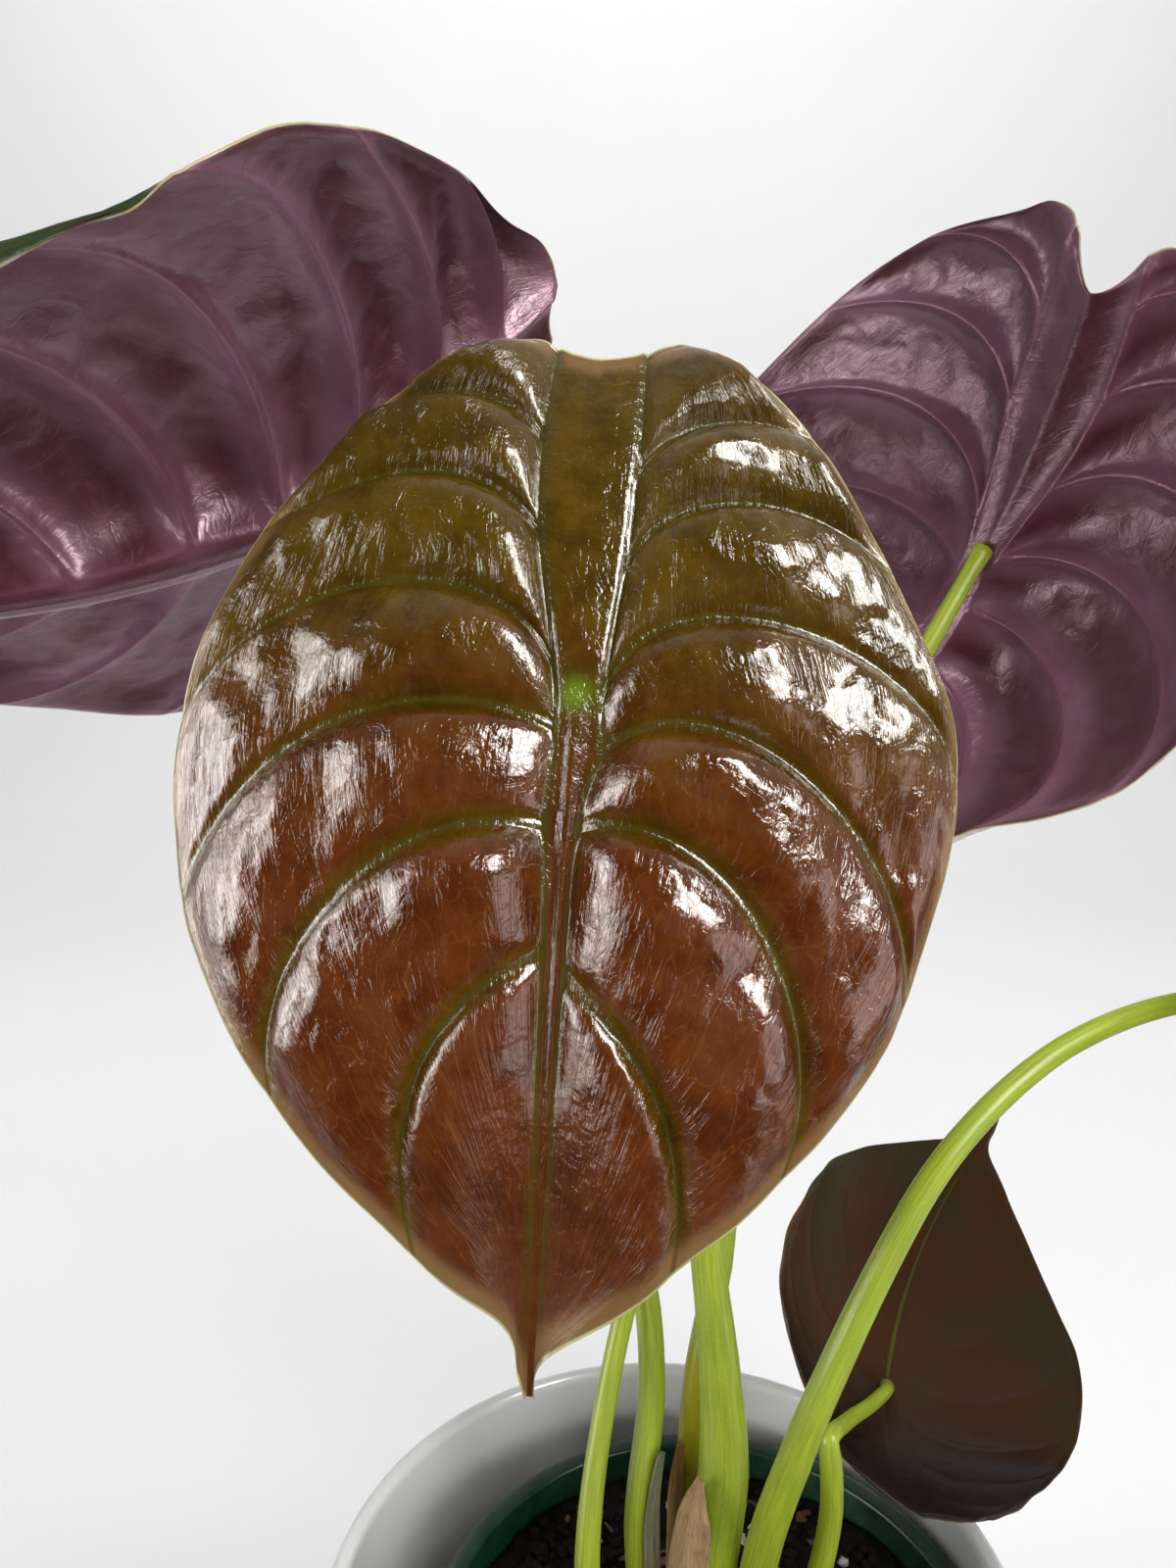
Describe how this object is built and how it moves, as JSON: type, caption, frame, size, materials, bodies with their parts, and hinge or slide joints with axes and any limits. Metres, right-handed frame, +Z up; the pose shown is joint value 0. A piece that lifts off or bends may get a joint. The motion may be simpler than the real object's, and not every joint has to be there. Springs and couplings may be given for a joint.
{
  "type": "potted red secret alocasia",
  "caption": "House plant with glossy copper, quilted peltate leaves with purple undersides on arching stems, in a peat-filled nursery pot inside a round outer pot.",
  "frame": {"origin": "centre of the outer pot's flat base, on the surface it stands on", "axes": "+Z up, -Y towards the viewer of the front leaf, +X to the viewer's right"},
  "size_m": [0.3878, 0.2319, 0.4154],
  "materials": {
    "outer_pot": "white glazed ceramic, glossy and smooth",
    "nursery_pot": "thin dark green plastic, satin",
    "soil": "damp dark peat with perlite grains and bark bits, rough",
    "crown": "fibrous green-brown stem base",
    "stem": "fleshy light green, softly glossy, faintly streaked",
    "blade": "stiff glossy copper and olive upper face, wine-purple underside",
    "young_blade": "thin dark brown-purple leaf with a green midrib, semi-gloss",
    "sheath": "dry papery tan sheath, matt"
  },
  "bodies": {
    "root": {"outer_pot": "outer_pot", "nursery_pot": "nursery_pot", "soil": "soil", "crown": "crown", "stem_front": "stem", "stem_left": "stem", "stem_right": "stem", "stem_young": "stem", "stem_side": "stem", "stem_rear": "stem", "blade_front": "blade", "blade_left": "blade", "blade_right": "blade", "blade_side": "blade", "blade_rear": "blade", "blade_young": "young_blade", "sheath_front": "sheath", "sheath_left": "sheath", "sheath_rear": "sheath"}
  },
  "joints": []
}
